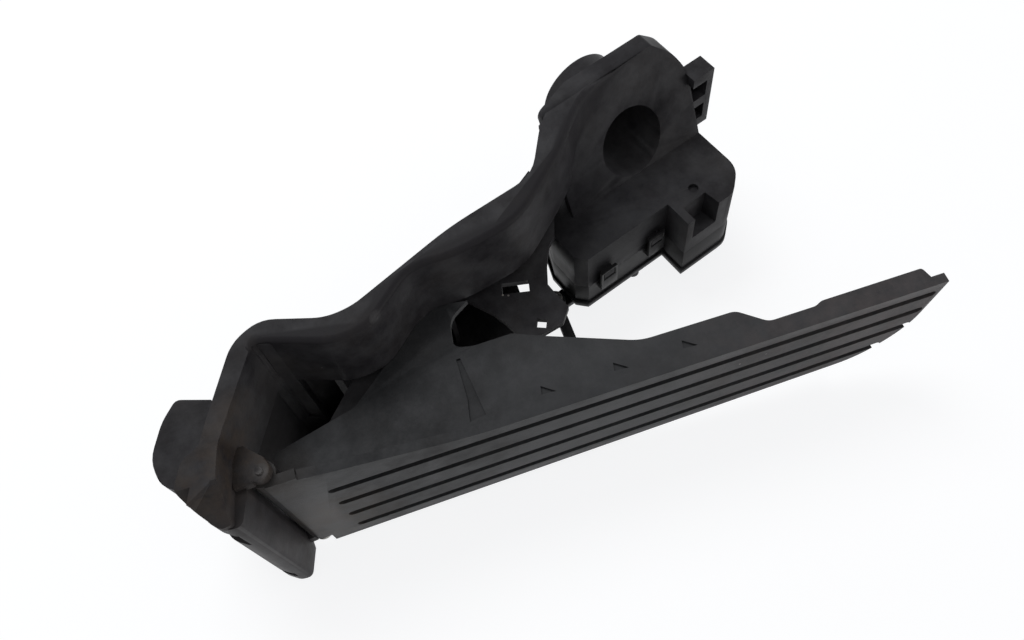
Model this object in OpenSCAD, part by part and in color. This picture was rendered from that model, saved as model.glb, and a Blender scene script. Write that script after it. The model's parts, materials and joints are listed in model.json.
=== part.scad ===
// Floor-hinged accelerator pedal module: a ribbed tread hinged at the heel, a moulded
// housing with one bolt at the top, and a sensor box that a push rod drives.
// Built from the heel hinge: x across (negative is the driver's left), y forward, z up the
// tread. The finished part is then moved so that its origin is the bolt boss's seat.

/* [Tread] */
// Length of the tread from the hinge to the toe
tread_l = 235; // [215:1:245]
// Thickness of the tread plate
tread_t = 3.5; // [3:0.1:5]
// Distance of the tread's front face from the hinge axis
tread_face = 5; // [4.6:0.1:5.6]
// Left edge of the tread
tread_near = -13; // [-14:0.1:-12.7]
// Right edge of the tread at the heel
tread_far = 46; // [44:0.5:48]
// Right edge of the tread 200 mm up
tread_far_top = 34; // [33:0.5:38]
// Thickness of the tall side wall
skirt_t = 2.5; // [2:0.1:2.8]
// Number of grooves in the tread
groove_count = 4; // [2:1:5]
// Width of a groove
groove_w = 3.6; // [2:0.1:5]
// Depth of a groove
groove_d = 1.5; // [0.8:0.1:2]
// Height of the ribs behind the tread
rib_h = 6; // [4:0.5:7]

/* [Heel hinge] */
// Radius of the hinge pin
hinge_pin_r = 2.5; // [2:0.1:3]
// Radial clearance between the pin and the tread's barrel
hinge_gap = 0.05; // [0.02:0.01:0.1]
// Outer radius of the barrel and the lugs
barrel_r = 4.5; // [4:0.1:5]
// Gap between the barrel and each lug
lug_gap = 0.3; // [0.2:0.05:0.6]
// Thickness of the left lug
near_lug_t = 4.2; // [3:0.2:5]
// Travel of the pedal in degrees
travel = 14; // [10:0.5:14]

/* [Housing] */
// Left side of the housing
side_near = -44; // [-46:0.5:-42]
// Wall thickness of the moulding
wall = 2.5; // [2:0.1:3]
// Thickness of the curved front skin
skin = 3; // [2.5:0.1:4]
// Gap between the tall side wall of the tread and the edge of the skin
skirt_gap = 0.7; // [0.4:0.1:1]
// Left face of the partition beside the tread's side wall
partition_x = -9.5; // [-9.9:0.1:-9]
// Thickness of the partition
partition_t = 2.6; // [2:0.1:3]

/* [Bolt] */
// Height of the bolt seat above the hinge
mount_z = 145.2; // [142:0.2:149]
// Depth of the bolt seat behind the hinge
mount_y = 119.4; // [116:0.2:122]
// Sideways place of the bolt
bolt_x = -14; // [-15:0.5:-14]
// Tilt of the bolt axis below level, in degrees
tilt = 19; // [17:0.5:21]
// Radius of the recess for the socket wrench
recess_r = 13.5; // [11.5:0.5:13.5]
// Floor thickness under the recess
recess_floor = 10; // [8:0.5:12]
// Outer radius of the steel sleeve
sleeve_r = 6.5; // [6:0.1:8]
// Depth of the lead-in round the sleeve
sleeve_lead = 0.6; // [0.4:0.1:1]
// Bore radius of the steel sleeve
bolt_hole_r = 4.25; // [3.3:0.05:5]

// Radius of the locating peg behind the heel
peg_r = 4; // [3:0.1:4.5]
// Length of the locating peg beyond its boss
peg_l = 6.5; // [5:0.5:9]

/* [Sensor box] */
// Right face of the sensor box
box_far = 38; // [36:0.5:38]
// Parting plane between the box and its cover
parting_x = 21; // [20:0.5:23]
// Radius of the sensor shaft
shaft_r = 3; // [2.5:0.1:3.5]
// Radial clearance of the shaft in its bushes
shaft_gap = 0.03; // [0.02:0.01:0.08]
// Wall thickness of the shaft bushes
bush_t = 1.5; // [1.2:0.1:2]
// Wire radius of the outer return spring
outer_wire_r = 0.9; // [0.6:0.1:1.1]
// Wire radius of the inner return spring
inner_wire_r = 0.8; // [0.6:0.1:1]
// Turns of each return spring
spring_turns = 4; // [3:1:4]

/* [Link] */
// Thickness of the push rod across the pedal
rod_t = 3.2; // [2.5:0.1:3.4]
// Width of the push rod between its eyes
rod_w = 4.4; // [3:0.2:6]
// Radius of the two rod pins
rod_pin_r = 2; // [1.5:0.1:2.2]
// Radial play of the push rod at the tread
rod_play = 0.6; // [0.5:0.05:0.8]
// Wall round each rod eye
eye_wall = 2.2; // [1.8:0.1:2.6]
// Thickness of the sensor lever
lever_t = 3; // [2.5:0.1:3.5]

/* [Hidden] */
$fn = 48;
side_far = tread_far;
tread_top = tread_face - tread_t;
seat_gap = 0.3;

// Moves a shape from the heel frame to the part's frame, whose origin is the bolt seat.
module installed() translate([-bolt_x, -mount_y, -mount_z]) children();

// Frame of the top: y runs forward along the bolt, z up along the mounting face, and the
// bolt lies bolt_drop below its origin.
bolt_drop = 9.3;
top_y = mount_y + bolt_drop * sin(tilt);
top_z = mount_z + bolt_drop * cos(tilt);
module at_top() translate([0, top_y, top_z]) rotate([-tilt, 0, 0]) children();
// A pin along the bolt, from depth v0 to v1.
module bolt_pin(r, v0, v1, n = 48) translate([bolt_x, v1, -bolt_drop]) rotate([90, 0, 0])
    cylinder(r = r, h = v1 - v0, $fn = n);

// A side profile of [y, z] points, extruded across the pedal from x0 to x1.
module across(x0, x1) translate([x0, 0, 0]) rotate([90, 0, 90]) linear_extrude(x1 - x0) children();

// A front outline of [x, z] points, extruded forward from y0 to y1.
module forward(y0, y1) translate([0, y1, 0]) rotate([90, 0, 0]) linear_extrude(y1 - y0) children();

// A pin or bore across the pedal, centred on [y, z].
module cross_pin(r, x0, x1, at) translate([x0, at[0], at[1]]) rotate([0, 90, 0])
    cylinder(r = r, h = x1 - x0);

// Rounds the corners of a path: the third value of a point is the reach of its rounding.
function bend(a, b, c, reach, n) =
    reach <= 0 ? [[b[0], b[1]]] :
    let(p = [b[0], b[1]], da = [a[0], a[1]] - p, dc = [c[0], c[1]] - p,
        r = min(reach, 0.46 * norm(da), 0.46 * norm(dc)), ta = p + r * unit(da), tc = p + r * unit(dc))
    [for (i = [0 : n]) let(t = i / n) (1 - t) * (1 - t) * ta + 2 * t * (1 - t) * p + t * t * tc];
function unit(v) = v / norm(v);
function rounded(pts, n = 5) = [for (i = [0 : len(pts) - 1])
    each bend(pts[max(i - 1, 0)], pts[i], pts[min(i + 1, len(pts) - 1)],
              i == 0 || i == len(pts) - 1 ? 0 : pts[i][2], n)];
// Rounds a closed outline.
function rounded_loop(pts, n = 5) = let(m = len(pts)) [for (i = [0 : m - 1])
    each bend(pts[(i + m - 1) % m], pts[i], pts[(i + 1) % m], pts[i][2], n)];
// Shifts an open path sideways by d, to its left.
function beside(pts, d) = [for (i = [0 : len(pts) - 1])
    let(a = pts[max(i - 1, 0)], b = pts[min(i + 1, len(pts) - 1)], u = unit(b - a))
    pts[i] + d * [-u[1], u[0]]];
function reversed(pts) = [for (i = [len(pts) - 1 : -1 : 0]) pts[i]];

// The place in the heel frame of a point given in the top frame as [v, u].
function from_top(v, u) = [top_y + v * cos(tilt) + u * sin(tilt), top_z - v * sin(tilt) + u * cos(tilt)];

// Side profile of the housing: the rim that faces the driver, from the heel to the top.
top_front = from_top(-22.3, 0);
rim = rounded([[-5, -10.5, 0], [7, -6, 4], [17, -0.7, 4], [35.5, 9, 6], [34, 15, 3], [27, 34, 8],
    [29, 46, 5], [45, 63, 8], [44.5, 78, 6], [50, 102, 9], [73, 125, 8],
    [from_top(-24.5, -26)[0], from_top(-24.5, -26)[1], 9], [top_front[0], top_front[1], 0]]);
// The same side seen from behind, from the heel to below the rear boss.
back = rounded([[-9.5, -18, 0], [9, -11.5, 8], [38, 3, 7], [43, 13, 5], [36.5, 33, 10], [37.5, 42, 6],
    [55, 79, 8], [65, 111, 7], [86, 121, 6],
    [from_top(-15.5, -26)[0], from_top(-15.5, -26)[1], 6],
        [from_top(-15.5, 0)[0], from_top(-15.5, 0)[1], 0]]);
side_line = concat(rim, reversed(back));
// How far the hollow behind the skin is shifted from the skin's front.
skin_shift = [0.9 * skin, -0.4 * skin];

// Rear web that ties the partition to the right-hand beam.
web_line = rounded([[38, 4, 0], [41, 13, 6], [60, 58, 8], [80, 100, 8], [94.5, 122.4, 0]]);

slot_x = tread_near - skirt_gap;
partition_far = partition_x + partition_t;
beam_x = 35;
beam_far = beam_x + wall;

// Sensor shaft axis in the bolt frame, and the lever on it: its length, its angle at rest, and
// how many degrees it turns for each degree of the tread.
shaft_v = -46;
shaft_u = 3;
shaft_at = from_top(shaft_v, shaft_u);
lever_l = 62;
lever_rest = 20;
lever_ratio = 1.86;
lever_tip = [shaft_at[0] - lever_l * sin(lever_rest), shaft_at[1] - lever_l * cos(lever_rest)];
lever_tip_gap = 6;
// Height above which the beam and the web leave room for the push rod's swing.
rod_room_z = lever_tip[1] - 12.5;

// Sensor box outline in the bolt frame, as [v, u].
box_front = -57.2;
nose_front = -69;
box_low = shaft_u - lever_l + lever_tip_gap;
nose_low = -10.6;
box_high = 21;
box_back = -27.5;
function box_outline(inset) = rounded_loop([
    [box_back - inset, box_low + 5 + 1.3 * inset, 0],
    [box_back - 12 - 0.3 * inset, box_low + inset, 0],
    [box_front + 4 + inset, box_low + inset, 0],
    [box_front + inset, box_low + 3.5 + inset, 0],
    [box_front + inset, nose_low + inset, 0],
    [nose_front + inset, nose_low + inset, 0],
    [nose_front + inset, box_high - 9, 3],
    [nose_front + 8 + inset * 0.6, box_high - inset, 5],
    [box_back - inset, box_high - inset, 0]], 6);

// Places of the pieces in the sensor box across the pedal.
board_x = 4.6;
board_t = 1.6;
board_high = 16.4;
board_d = box_back - box_front - 2 * wall - 1.1;
bulkhead_x = 14;
bulkhead_t = 3;
bush_inner_l = 5;
cover_wall = 2.5;
cover_rim = 0.9;
cover_rim_x = box_far - 5;
lever_x = box_far + 0.4;
magnet_x = board_x + board_t + 2;
magnet_t = 2.5;
shaft_x0 = magnet_x + magnet_t + 0.6;
shaft_x1 = lever_x + lever_t;
bush_r = shaft_r + bush_t;
drum_x0 = bulkhead_x + bush_inner_l + 0.4;
drum_x1 = 31;
drum_flange_r = 12.5;
coil_x = bulkhead_x + bulkhead_t + 1.2;
outer_coil_r = drum_flange_r - 1.5;
inner_coil_r = outer_coil_r - 3;
drum_hub_r = inner_coil_r - inner_wire_r - 1.8;
ring_inner_r = drum_flange_r - 5;

// Push rod: its upper and lower pivots in the heel frame as [y, z].
rod_x1 = lever_x - seat_gap;
rod_x0 = rod_x1 - rod_t;
lower_pivot = [9, 114.5];
slot_up = 2.3;
eye_r = rod_pin_r + eye_wall;
lug_t = 3;
lug_x0 = rod_x0 - seat_gap - lug_t;

// Edge of the tread on the right at height z.
function far_edge(z) = tread_far + (tread_far_top - tread_far) * z / 200;

// Outline of the tread seen from the driver, as [x, z].
tread_low = 4;
toe = rounded_loop([[tread_near - 13, tread_low, 0], [far_edge(tread_low), tread_low, 0],
    [far_edge(tread_l - 20), tread_l - 20, 12], [far_edge(tread_l) - 14, tread_l - 5, 10],
    [tread_near, tread_l, 0], [tread_near, 66, 12], [tread_near - 9, 20, 6]], 8);

// Tall side wall of the tread, as [y, z], with a ledge two thirds of the way up.
ledge_z = max(tread_l - 71.5, 134);
skirt_line = rounded_loop([[-tread_face, 2, 0], [10.6, 1, 2], [18, 31, 1.5], [41, 58, 3], [46, 67, 3],
    [44, 78, 0], [39, 70, 4], [28, 68.5, 4], [26.4, 75, 2], [26.5, 89, 0], [21.5, 100, 3],
        [9.2, 129.5, 4],
    [8.8, ledge_z, 2], [1.4, ledge_z + 9, 2], [1.4, tread_l - 45.5, 1], [2.6, tread_l - 43, 1],
        [2.6, tread_l - 6, 1],
    [-tread_face + 1.2, tread_l - 4, 0], [-tread_face + 1.2, tread_l - 12, 0],
        [-tread_face, tread_l - 14, 0]], 5);

module groove(i) {
    span = (groove_count - 1);
    low = [tread_near + 7.7 + i * (far_edge(16) - 8.3 - tread_near - 7.7) / span, 16.5];
    high = [tread_near + 6.6 + i * (far_edge(tread_l) - 5 - tread_near - 6.6) / span,
            tread_l - 4.5 - (i == span ? 11 : i * 1.2)];
    run = high - low;
    translate([low[0], -tread_face, low[1]]) rotate([0, atan2(run[0], run[1]), 0]) {
        translate([-groove_w / 2, -1, 0]) cube([groove_w, 1 + groove_d, norm(run)]);
        for (end = [0, norm(run)])
            translate([0, -1, end]) rotate([-90, 0, 0])
                cylinder(d = groove_w, h = 1 + groove_d, $fn = 24);
    }
}

// Ribs behind the tread: a long one near each side and cross ribs between them.
rib_t = 2;
rib_zs = [24, 50, 76, 102, tread_l - 102, tread_l - 77, tread_l - 51, tread_l - 27];
rib_low_h = 2.6;
module tread_ribs() {
    for (z = rib_zs) {
        // One rib stops short of the partition, which it would meet at full travel.
        x0 = z > 90 && z < 120 ? partition_far + 0.8 : tread_near + 1;
        translate([x0, -tread_top - 0.5, z])
            cube([far_edge(z) - 1.5 - x0, 0.5 + (z < 150 ? rib_h : rib_low_h), rib_t]);
    }
    for (x = [4, 20]) {
        translate([x, -tread_top - 0.5, 8]) cube([rib_t, rib_h + 0.5, 142]);
        translate([x, -tread_top - 0.5, 140]) cube([rib_t, rib_low_h + 0.5, tread_l - 16 - 140]);
    }
}

module pedal() {
    color([0.11, 0.115, 0.12]) installed() difference() {
        union() {
            forward(-tread_face, -tread_top) polygon(toe);
            across(tread_near, tread_near + skirt_t) polygon(skirt_line);
            // Low lip along the right edge, following its taper.
            forward(-tread_top - 0.5, 2.6) polygon([[far_edge(9) - skirt_t, 9], [far_edge(9), 9],
                [far_edge(tread_l - 34), tread_l - 34],
                    [far_edge(tread_l - 34) - skirt_t, tread_l - 34]]);
            tread_ribs();
            // Hinge barrel and the heel that ties it to the tread.
            cross_pin(barrel_r, barrel_x0, barrel_x1, [0, 0]);
            translate([barrel_x0, -tread_face, 0]) cube([barrel_x1 - barrel_x0, tread_t, tread_low + 6]);
            // Lug for the push rod.
            across(lug_x0, lug_x0 + lug_t)
                polygon(rounded_loop([[-tread_top - 0.5, lower_pivot[1] - 12, 0],
                [lower_pivot[0] + eye_r + 0.8, lower_pivot[1] - 7, 4],
                [lower_pivot[0] + eye_r + 0.8, lower_pivot[1] + 7, 4],
                    [-tread_top - 0.5, lower_pivot[1] + 12, 0]], 5));
        }
        cross_pin(hinge_pin_r + hinge_gap, barrel_x0 - 1, barrel_x1 + 1, [0, 0]);
        // Slot in which the push rod's pin moves up and down.
        for (z = [-slot_up, slot_up])
            cross_pin(rod_pin_r + rod_play, lug_x0 - 1, lug_x0 + lug_t + 1, lower_pivot + [0, z]);
        translate([lug_x0 - 1, lower_pivot[0] - rod_pin_r - rod_play, lower_pivot[1] - slot_up])
            cube([lug_t + 2, 2 * (rod_pin_r + rod_play), 2 * slot_up]);
        // Room in the right-hand lip for the push rod.
        translate([lug_x0 + lug_t + 0.1, 0.4, lower_pivot[1] - 9]) cube([20, 10, 18]);
        for (i = [0 : groove_count - 1]) groove(i);
        // Slots and notches that the mould leaves in the side wall.
        across(tread_near - 1, tread_near + 0.9)
            polygon([[23.5, 68.2], [23.5, 69.6], [0.9, 72.2], [0.2, 66.4], [8, 67.8]]);
        for (z = [93.3, 118.9, 143.4])
            across(tread_near - 1, tread_near + 0.9)
                polygon([[1.6, z - 1.6], [4.6, z - 1], [1.2, z + 3.4]]);
    }
}
barrel_x0 = -26;
barrel_x1 = 39.4;
// Skin that closes the left lug, and the pin's two ends.
lug_skin = 1.2;
pin_x0 = barrel_x0 - lug_gap - near_lug_t + lug_skin;
pin_x1 = side_far - 2;

// Heel: the foot below the hinge, full width, with its two locating notches.
foot_x0 = -28;
foot_line = rounded_loop([[-5.2, -4.8, 0], [-15.2, -8, 2], [-15, -12.4, 1.5], [-11.5, -17.5, 2],
    [-6, -20, 2], [2, -18, 2],
    [8, -11, 0], [8, -6, 0], [2, -5.6, 0]], 4);
near_foot_line = rounded_loop([[-14.5, -10.2, 1], [-14.8, -14.2, 1.5], [-9.5, -18.4, 2],
    [-4, -21.2, 2], [4, -18, 2],
    [8, -11, 0], [8, -6, 0], [-1, -8, 0]], 4);

module heel_foot() {
    difference() {
        across(foot_x0, side_far + 2) polygon(foot_line);
        for (n = [[-19.5, -8], [37.5, 43]]) across(n[0], n[1])
            polygon([[-17, -10.1], [-3, -22.8], [-17, -22.8]]);
    }
    // Left end of the foot, whose front slopes back towards the side wall.
    intersection() {
        across(side_near, foot_x0 + 0.5) polygon(near_foot_line);
        translate([0, 0, -30]) linear_extrude(30) polygon([[side_near, -4.5], [foot_x0 - 2, -14.8],
            [foot_x0 + 1, -14.8], [foot_x0 + 1, 12], [side_near, 12]]);
    }
    // Heel floor behind the barrel, and the lugs that hold the pin.
    across(side_near + 1, side_far)
        polygon([[-4, -11], [6, -6.9], [17, -1.4], [33, 6.4], [35, 10], [34, 14.6],
        [42.2, 14.6], [42, 11], [37, 3], [9, -11.2], [-8.6, -17.4]]);
    for (x = [barrel_x0 - lug_gap - near_lug_t, barrel_x1 + lug_gap]) {
        w = x < 0 ? near_lug_t : side_far - 2 - barrel_x1 - lug_gap;
        across(x, x + w) polygon([[-3.6, -2.4], [-4, -8], [9, -8], [9, -3], [3.2, 2.8]]);
        cross_pin(barrel_r - 0.8, x, x + w, [0, 0]);
    }
    // Moulded nub on the closed left lug.
    cross_pin(1.2, pin_x0 - lug_skin - 0.9, pin_x0 - lug_skin + 0.5, [-0.8, 0.6]);
}

// Left side of the housing: a side wall that follows the rim, the skin across to the
// slot of the tread's side wall, and ribs behind the skin.
near_rib_zs = [24, 44, 60, 76, 92, 106];
module near_side() {
    difference() {
        across(side_near, slot_x) polygon(side_line);
        translate([0, skin_shift[0], skin_shift[1]]) across(side_near + skin, slot_x + 1)
            polygon(side_line);
    }
    intersection() {
        across(side_near + 1, slot_x) polygon(side_line);
        union() {
            for (z = near_rib_zs) translate([side_near, 0, z]) cube([slot_x - side_near, 130, 2]);
            translate([slot_x - wall, 0, 12]) cube([wall, 130, 130]);
            translate([-30, 0, 12]) cube([2, 130, 130]);
        }
    }
}

// Partition beside the tread's side wall, with its round cut-out and two square holes.
module partition() {
    difference() {
        across(partition_x, partition_far) polygon(concat(
            [[10.5, 15], [15, 30], [26, 46.5], [37, 58], [44, 67], [46.2, 78.2], [38, 85.5],
                [32, 89], [26, 91.5], [24.2, 99],
             [26.3, 107.6], [31.4, 111.4], [39.6, 108.2], [42.5, 107.3], [50.8, 109.7], [57.8, 112.9],
             [60.8, 115.9], [80, 122]],
            [[92, 116], [79, 100], [59, 58]]));
        translate([partition_x - 1, 45.2, 96]) rotate([-78, 0, 0]) translate([0, -4.9, -2.2])
            cube([partition_t + 2, 9.8, 4.4]);
        translate([partition_x - 1, 28.4, 100.4]) rotate([24, 0, 0]) translate([0, -1.7, -1.7])
            cube([partition_t + 2, 3.4, 3.4]);
    }
}

// Right-hand beam from the heel to the sensor box, the rear web and its cross ribs.
module far_side() {
    across(beam_x, beam_far) polygon(rounded([[14, 6, 0], [19, 20, 4], [33, 60, 6],
        [46, rod_room_z - 8, 3], [60, rod_room_z, 0],
        [80.6, rod_room_z, 0], [60, 58, 8], [41, 13, 6], [38, 4, 0]]));
    across(partition_x, beam_far) polygon(concat(web_line, reversed(beside(web_line, wall))));
    intersection() {
        across(partition_x, beam_far) polygon(concat(web_line, [[70, 104], [50, 64], [30, 22], [26, 6]]));
        for (z = [26, 48, 70, 92]) translate([partition_x, 20, z]) cube([beam_far - partition_x, 80, 2]);
    }
}

// Top of the housing in the bolt frame: sloping front, rounded upper left corner, rear boss.
slope_far = -39.5;
top_low = -42;
top_far = 34;
top_outline = rounded_loop([[side_near, top_low, 0], [top_far, top_low, 0], [top_far, box_high, 0],
    [-27, box_high, 5], [-37, 15.5, 4], [side_near, 7.5, 1]], 5);
// Everything behind the sloping front of the top, as [x, v] extruded along the face.
module top_plan(pts) translate([0, 0, top_low]) linear_extrude(box_high - top_low + 1) polygon(pts);
module top_wedge() top_plan([[side_near, -22.3], [1, slope_far], [top_far, slope_far],
    [top_far, -10], [side_near, -10]]);

module top_body() {
    intersection() {
        union() {
            // Sloping front plate, side and end walls.
            top_plan([[side_near, -22.3], [1, slope_far], [top_far, slope_far],
                [top_far, slope_far + skin], [1, slope_far + skin], [side_near, -22.3 + skin]]);
            top_plan([[side_near, -22.3], [side_near + skin, -23.4], [side_near + skin, -15.5],
                [side_near, -15.5]]);
            top_plan([[top_far - wall, -40], [top_far, -40], [top_far, -15.5], [top_far - wall, -15.5]]);
            // Ribs between the boss and the walls.
            for (u = [-34, 6]) translate([side_near + 1, -38, u - 1])
                cube([top_far - side_near - 1, 22.5, 2]);
            for (x = [-36, 8, 24]) translate([x - 1, -38, top_low]) cube([2, 22.5, 70]);
            top_rim();
        }
        forward(-60, -10) polygon(top_outline);
        top_wedge();
    }
    // Tube round the recess, closed by the boss that seats on the car's bulkhead.
    bolt_pin(recess_r + wall, -22, 0, 96);
    intersection() {
        bolt_pin(recess_r + wall, -44, -20, 96);
        top_wedge();
    }
}

// Closing wall along the rounded top edge.
module top_rim() {
    difference() {
        forward(-60, -15.5) polygon(top_outline);
        forward(-61, -14) polygon([for (p = top_outline) [p[0] + (p[0] < 0 ? skin : -skin),
            p[1] - skin]]);
    }
}

// Clip bracket for the cable on the top edge.
module clip_bracket() {
    for (x = [-26, -13.5, -1]) translate([x, -34, box_high - 1]) cube([4.5, 8, 8]);
    translate([-26, -34, box_high + 6]) cube([29.5, 8, 3]);
    translate([-26, -28.5, box_high - 1]) cube([29.5, 2.5, 9]);
}

// Box for the sensor, its bulkhead and bearing boss.
module sensor_box() {
    difference() {
        across(0, parting_x) polygon(box_outline(0));
        across(wall, parting_x + 1) polygon(box_outline(wall));
        // Triangular pocket and gauge hole at the nose.
        across(-1, 13) polygon([[nose_front - 1, -7.3], [-62, -7.3], [-62, 3.8], [nose_front - 1, 4.8]]);
        cross_pin(2, -1, 1.6, [-57.7, 1.7]);
    }
    // Inner wall of the pocket.
    difference() {
        across(0, 15) polygon([[nose_front + 0.5, -9.3], [-60, -9.3], [-60, 5.8],
            [nose_front + 0.5, 6.8]]);
        across(-1, 13) polygon([[nose_front - 1, -7.3], [-62, -7.3], [-62, 3.8], [nose_front - 1, 4.8]]);
    }
    // Posts that carry the circuit board.
    for (p = board_posts) cross_pin(2.2, wall - 0.5, board_x, p);
    // Catches for the cover's clips.
    for (c = clip_places) translate([parting_x - 6.5, box_front - 2.6, c + 1.5])
        cube([3, 3.2, clip_w - 3]);
}
board_low = box_low + 8.4;
board_posts = [[-52, board_low + 2.6], [-35, board_low + 2.6], [-52, board_low + 26.6], [-34, 12]];
clip_places = [box_low + 8, box_low + 32];
clip_w = 8;

// Connector socket behind the heel, open towards the driver.
socket_x0 = -22;
socket_x1 = 10;
socket_y1 = 35;
socket_line = rounded_loop([[32.5, -12.9, 0], [36.5, -24.5, 2], [30, -30, 3], [18, -35.3, 5],
    [8.5, -33, 4],
    [4.6, -27.5, 1], [4.6, -12, 0]], 4);
module connector_socket() {
    difference() {
        across(socket_x0, socket_x1) polygon(socket_line);
        across(socket_x0 + 2, socket_x1 - 2) polygon([[3, -29], [10, -31.5], [socket_y1 - 11, -28.5],
            [socket_y1 - 11, -19], [3, -19]]);
    }
    // Keying rib in the socket.
    translate([-3, 8, -19.6]) cube([2.4, 14, 1.6]);
}

// Peg behind the heel that enters a hole of the car's floor.
peg_x = 24;
peg_y = 44;
peg_z = 8;
module locating_peg() {
    translate([peg_x, 34, peg_z]) rotate([-90, 0, 0]) {
        cylinder(r = peg_r + 2, h = peg_y - 34);
        cylinder(r = peg_r, h = peg_y - 34 + peg_l);
        cylinder(r = peg_r - 1, h = peg_y - 34 + peg_l + 1.5);
    }
}

module housing() {
    color([0.09, 0.09, 0.095]) installed() difference() {
        union() {
            near_side();
            heel_foot();
            partition();
            far_side();
            connector_socket();
            locating_peg();
            at_top() {
                difference() {
                    top_body();
                    // Nothing of the top reaches behind the curved side.
                    across(side_near - 1, slot_x)
                        polygon([[-15.5, -26.5], [1, -26.5], [1, -60], [-21, -44]]);
                    // Room for the sensor box.
                    across(1.2, parting_x) polygon(box_outline(wall / 2));
                }
                clip_bracket();
                sensor_box();
            }
        }
        cross_pin(hinge_pin_r, pin_x0, side_far + 1, [0, 0]);
        // Room for the push rod and its upper pin over the whole travel.
        translate([rod_x0 - 2.2, 30, rod_room_z]) cube([10, 70, 17]);
        at_top() {
            // Room for the cover and its raised rim.
            across(parting_x, box_far + 3) polygon(box_outline(-seat_gap));
            across(cover_rim_x - seat_gap, box_far + 3) polygon(box_outline(-cover_rim - seat_gap));
            // Recess for the socket wrench, and the sleeve's bore with its lead-in.
            bolt_pin(recess_r, -70, -recess_floor, 96);
            bolt_pin(sleeve_r, -recess_floor - 1, 1);
            bolt_pin(sleeve_r + 0.8, -sleeve_lead, 1);
            for (p = board_posts) cross_pin(0.9, wall + 0.2, board_x + 1, p);
        }
    }
}

module mount_sleeve() {
    color([0.7, 0.7, 0.68]) installed() at_top() difference() {
        bolt_pin(sleeve_r, -recess_floor, 0);
        bolt_pin(bolt_hole_r, -recess_floor - 1, 1);
    }
}

// Pin through the right lug and the barrel into the closed left lug, with a head at its right end.
module hinge_pin() {
    color([0.72, 0.72, 0.7]) installed() {
        cross_pin(hinge_pin_r, pin_x0, pin_x1, [0, 0]);
        cross_pin(hinge_pin_r + 0.9, pin_x1, pin_x1 + 1.2, [0, 0]);
    }
}

// Spring clip over the pin's head: a slotted disc with a tab.
module hinge_clip() {
    color([0.75, 0.75, 0.72]) installed() difference() {
        union() {
            cross_pin(hinge_pin_r + 1.2, pin_x1 + 1.2, pin_x1 + 2, [0, 0]);
            translate([pin_x1 + 1.2, -0.4, 2]) cube([0.8, 2.4, 2.6]);
        }
        translate([pin_x1 + 0.6, -0.5, -6]) cube([3, 1, 5.4]);
    }
}

// Lever side: shaft, spring drum, magnet and arm, all turning together.
shaft_axis = [shaft_v, shaft_u];
module lever_shaft() color([0.7, 0.7, 0.68]) installed() at_top()
    cross_pin(shaft_r, shaft_x0, shaft_x1, shaft_axis);

module shaft_bush_inner() color([0.6, 0.45, 0.2]) installed() at_top()
    bush(bulkhead_x, bulkhead_x + bush_inner_l);
module shaft_bush_outer() color([0.6, 0.45, 0.2]) installed() at_top()
    bush(outer_bush_x, box_far);
outer_bush_x = drum_x1 + 0.6;
module bush(x0, x1) difference() {
    cross_pin(bush_r, x0, x1, shaft_axis);
    cross_pin(shaft_r + shaft_gap, x0 - 1, x1 + 1, shaft_axis);
}

module spring_drum() color([0.82, 0.8, 0.75]) installed() at_top() difference() {
    union() {
        cross_pin(drum_hub_r, drum_x0, drum_x1, shaft_axis);
        cross_pin(drum_flange_r, drum_x1 - 1.6, drum_x1, shaft_axis);
    }
    cross_pin(shaft_r, drum_x0 - 1, drum_x1 + 1, shaft_axis);
    // Slots in the flange that take the ends of the springs.
    for (r = [inner_coil_r, outer_coil_r])
        translate([drum_x1 - 3, shaft_v - 1.4, shaft_u + r - 1.4]) cube([4, 2.8, 2.8]);
}

// Bridge across the sensor box that carries the inner bush and one end of each spring.
module bearing_bridge() color([0.2, 0.2, 0.2]) installed() at_top() difference() {
    union() {
        across(bulkhead_x, bulkhead_x + bulkhead_t) polygon(box_outline(wall));
        cross_pin(bush_r + 2, bulkhead_x, bulkhead_x + bush_inner_l, shaft_axis);
    }
    cross_pin(bush_r, bulkhead_x - 1, bulkhead_x + bush_inner_l + 1, shaft_axis);
    // Opening that lets the wires through.
    translate([bulkhead_x - 1, -50, box_low + 9]) cube([bulkhead_t + 2, 16, 20]);
    // The bridge clears the wall of the pocket in the nose.
    translate([bulkhead_x - 1, nose_front, -9.6]) cube([bulkhead_t + 2, 9.3, 17]);
}

// A coil round the shaft axis with a straight leg at each end, swept as short tubes.
coil_steps = 20;
module coil(r, wire, x0, leg) {
    n = spring_turns * coil_steps;
    pitch = (drum_x1 - 2.6 - x0) / (spring_turns + 0.5);
    path = concat([[x0 - leg, 0, r]], [for (i = [0 : n]) [x0 + pitch * i / coil_steps,
        r * sin(360 * i / coil_steps), r * cos(360 * i / coil_steps)]],
        [[drum_x1 - 0.4, 0, r]]);
    translate([0, shaft_v, shaft_u]) tube_along(path, wire);
}
module tube_along(path, wire) {
    sides = 8;
    count = len(path);
    rings = [for (i = [0 : count - 1])
        let(d = unit(path[min(i + 1, count - 1)] - path[max(i - 1, 0)]),
            side = unit(cross(d, abs(d[0]) > 0.9 ? [0, 1, 0] : [1, 0, 0])), up = cross(side, d))
        each [for (k = [0 : sides - 1])
            path[i] + wire * (cos(360 * k / sides) * side + sin(360 * k / sides) * up)]];
    polyhedron(rings, concat([[for (k = [0 : sides - 1]) k]],
        [for (i = [0 : count - 2], k = [0 : sides - 1]) let(a = i * sides, n = (k + 1) % sides)
            each [[a + k, a + sides + k, a + n], [a + n, a + sides + k, a + sides + n]]],
        [[for (k = [sides - 1 : -1 : 0]) (count - 1) * sides + k]]));
}
module return_spring_outer() color([0.6, 0.6, 0.6]) installed() at_top()
    coil(outer_coil_r, outer_wire_r, coil_x, 0.9);
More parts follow.
